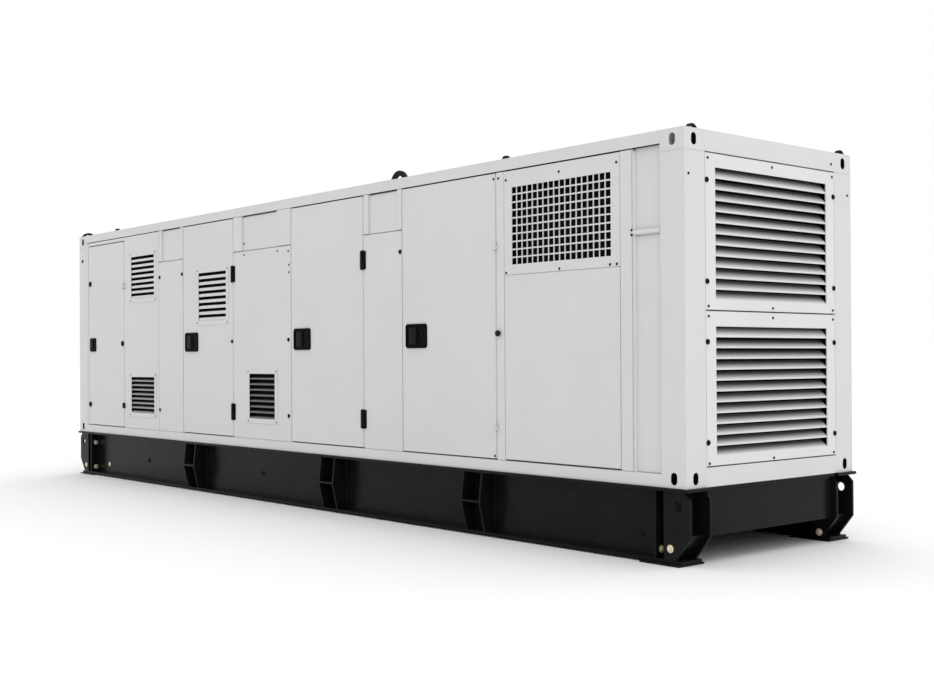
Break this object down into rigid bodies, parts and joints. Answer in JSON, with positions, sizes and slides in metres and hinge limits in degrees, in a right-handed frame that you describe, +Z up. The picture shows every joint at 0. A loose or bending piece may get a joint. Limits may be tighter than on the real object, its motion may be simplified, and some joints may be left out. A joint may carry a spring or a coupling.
{
  "type": "soundproof generator set",
  "caption": "Long sound-proofed generator enclosure on a black beam skid, with hinged service doors, side vents, a perforated radiator grille and louvred ends.",
  "frame": {"origin": "middle of the footprint, on the floor under the foot plates", "axes": "+X along the length towards the radiator end, -Y out of the door side, +Z up"},
  "size_m": [8.904, 1.88, 2.77],
  "materials": {
    "enclosure_paint": "satin powder coat",
    "skid_paint": "semi-gloss black",
    "black_steel": "black coated",
    "latch_plastic": "moulded"
  },
  "bodies": {
    "enclosure": {"skid_side_beams": "skid_paint", "skid_end_beams": "skid_paint", "stiffeners": "skid_paint", "lifting_lugs": "skid_paint", "beam_end_plates": "skid_paint", "foot_plates": "skid_paint", "floor_plate": "skid_paint", "corner_posts": "enclosure_paint", "corner_castings": "enclosure_paint", "top_rails": "enclosure_paint", "bottom_rails": "enclosure_paint", "end_headers": "enclosure_paint", "end_sills": "enclosure_paint", "roof_panel": "enclosure_paint", "roof_eyes": "black_steel", "side_posts": "enclosure_paint", "infill_panels": "enclosure_paint", "vent_panel": "enclosure_paint", "service_panel": "enclosure_paint", "radiator_panel": "enclosure_paint", "radiator_grilles": "enclosure_paint", "front_corner_panel": "enclosure_paint", "front_vents": "enclosure_paint", "door_frame_hinges": "black_steel", "rear_side_panels": "enclosure_paint", "rear_vents": "enclosure_paint", "rear_latches": "latch_plastic", "rear_hinges": "black_steel", "upper_right_louvre": "enclosure_paint", "lower_right_louvre": "enclosure_paint", "upper_left_louvre": "enclosure_paint", "lower_left_louvre": "enclosure_paint"},
    "door_a": {"door_a_leaf": "enclosure_paint", "door_a_latch": "latch_plastic", "door_a_hinges": "black_steel"},
    "door_b": {"door_b_leaf": "enclosure_paint", "door_b_latch": "latch_plastic", "door_b_hinges": "black_steel", "door_b_vent": "enclosure_paint"},
    "door_c": {"door_c_leaf": "enclosure_paint", "door_c_latch": "latch_plastic", "door_c_hinges": "black_steel"},
    "door_d": {"door_d_leaf": "enclosure_paint", "door_d_latch": "latch_plastic", "door_d_hinges": "enclosure_paint"}
  },
  "joints": [
    {"name": "door_a_swing", "type": "hinge", "parent": "enclosure", "child": "door_a", "pos_m": [-3.28, -0.918, 1.444], "axis": [0, 0, 1], "range_deg": [0, 110]},
    {"name": "door_b_swing", "type": "hinge", "parent": "enclosure", "child": "door_b", "pos_m": [-0.975, -0.918, 1.444], "axis": [0, 0, 1], "range_deg": [0, 110]},
    {"name": "door_c_swing", "type": "hinge", "parent": "enclosure", "child": "door_c", "pos_m": [1.099, -0.918, 1.444], "axis": [0, 0, 1], "range_deg": [0, 110]},
    {"name": "door_d_swing", "type": "hinge", "parent": "enclosure", "child": "door_d", "pos_m": [2.709, -0.918, 1.444], "axis": [0, 0, 1], "range_deg": [0, 110]}
  ]
}
